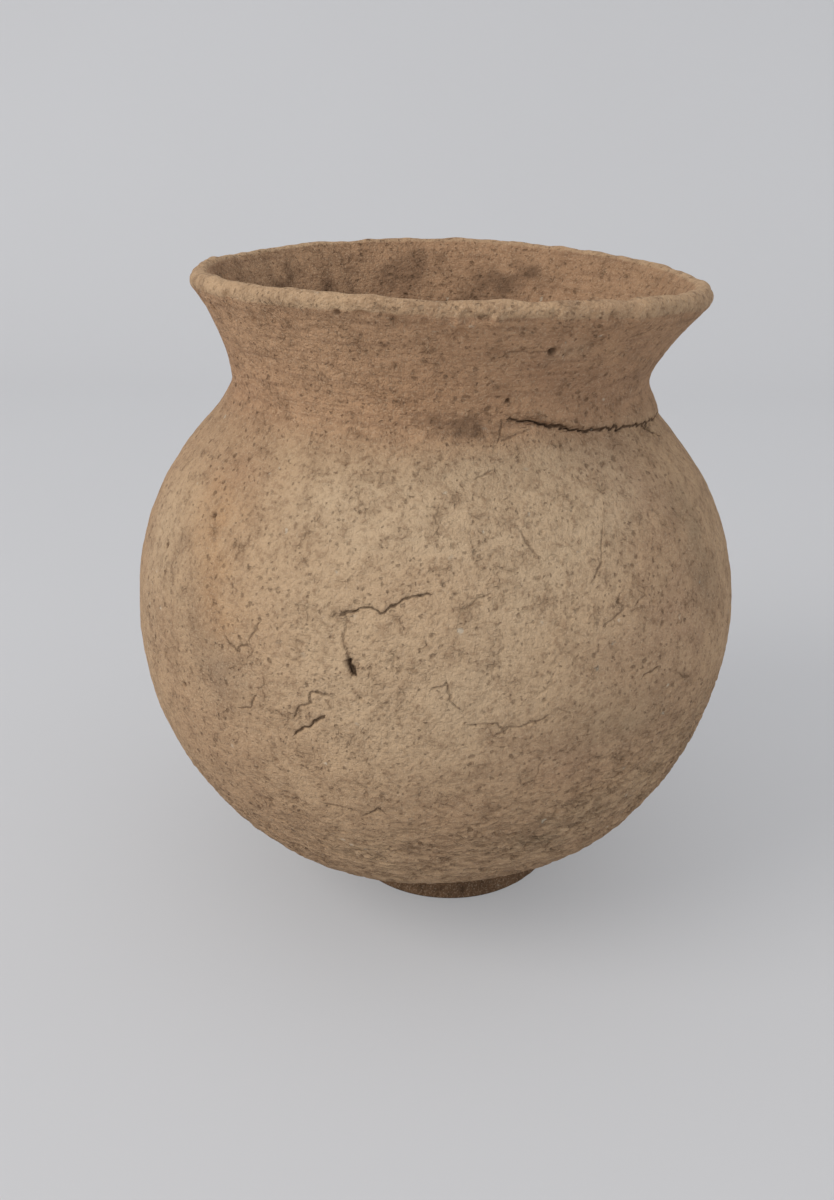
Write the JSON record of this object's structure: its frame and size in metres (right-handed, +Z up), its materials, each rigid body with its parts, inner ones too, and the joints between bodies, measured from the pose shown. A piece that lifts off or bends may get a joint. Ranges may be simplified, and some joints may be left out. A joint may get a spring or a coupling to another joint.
{
  "type": "wide-mouthed pottery jar",
  "caption": "Round-bodied, hand-built unglazed earthenware jar with a wide flared mouth, a short neck and a small flat foot, for storing or serving food.",
  "frame": {"origin": "centre of the foot's flat underside", "axes": "+Z up through the mouth, -Y towards the viewer of the picture, +X to the viewer's right"},
  "size_m": [0.117, 0.117, 0.1248],
  "materials": {
    "foot_clay": "unglazed earthenware, worn edge",
    "lower_clay": "unglazed earthenware, wrinkled by wet scraping",
    "body_clay": "unglazed earthenware, matt, pitted",
    "neck_clay": "unglazed earthenware, wiped smooth"
  },
  "bodies": {
    "root": {"foot_disc": "foot_clay", "base_bowl": "lower_clay", "lower_belly_coil": "lower_clay", "middle_belly_coil": "body_clay", "upper_belly_coil": "body_clay", "lower_shoulder_coil": "body_clay", "upper_shoulder_coil": "body_clay", "neck_collar": "neck_clay", "rim_coil": "neck_clay"}
  },
  "joints": []
}
